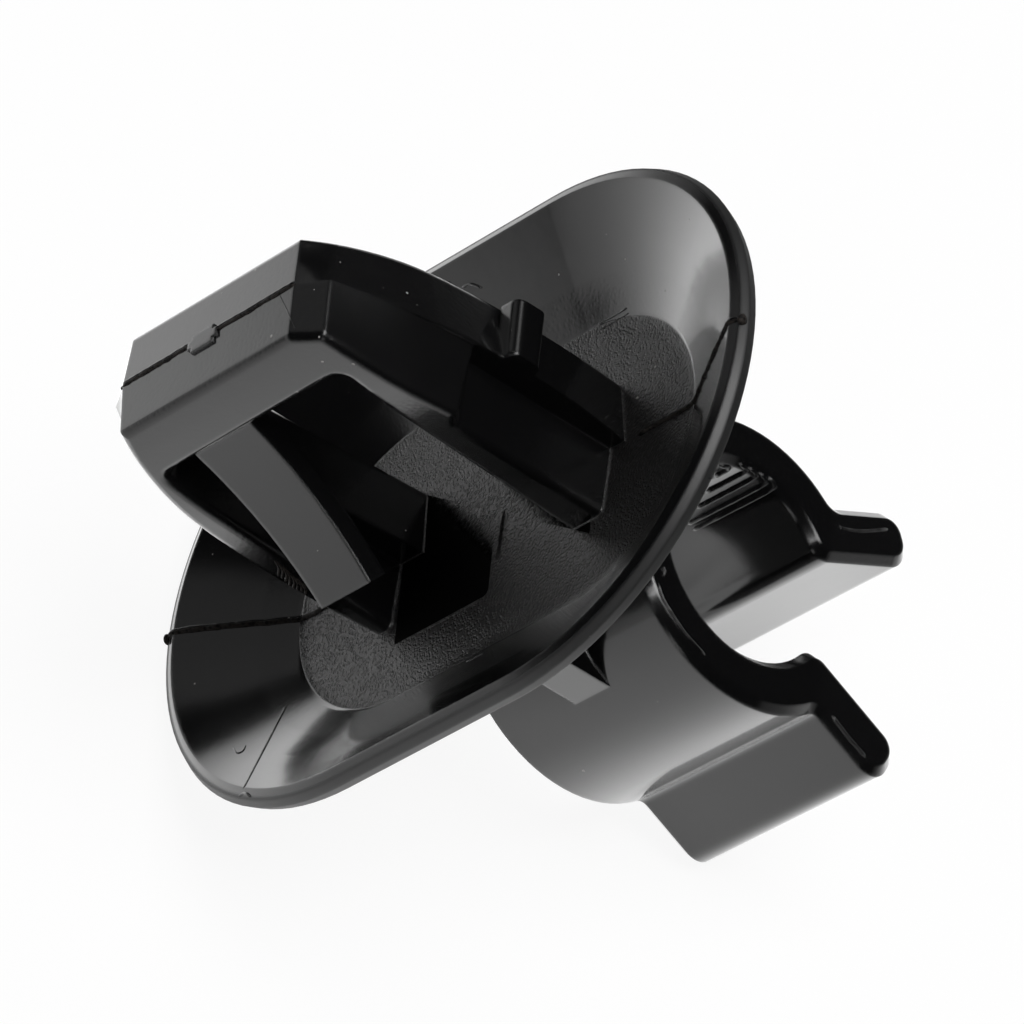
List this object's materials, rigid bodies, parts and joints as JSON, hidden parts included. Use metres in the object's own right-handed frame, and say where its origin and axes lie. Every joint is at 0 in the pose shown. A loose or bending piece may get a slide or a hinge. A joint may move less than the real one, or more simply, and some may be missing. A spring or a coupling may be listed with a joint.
{
  "type": "bonnet prop rod clip",
  "caption": "Moulded clip that snaps into a slot in a vehicle body panel and grips a bonnet prop rod in open spring jaws.",
  "frame": {"origin": "on the axis of the anchor, in the face of the flange that looks at the panel", "axes": "+Z out of the panel, from the anchor towards the mouth of the jaws; +X along the held rod and along the long side of the flange; +Y across the rod"},
  "size_m": [0.0321, 0.0228, 0.0311],
  "materials": {
    "black_plastic": "satin black moulded plastic, smoother on the flange and the jaws"
  },
  "bodies": {
    "root": {"prop_rod_clip": "black_plastic"}
  },
  "joints": []
}
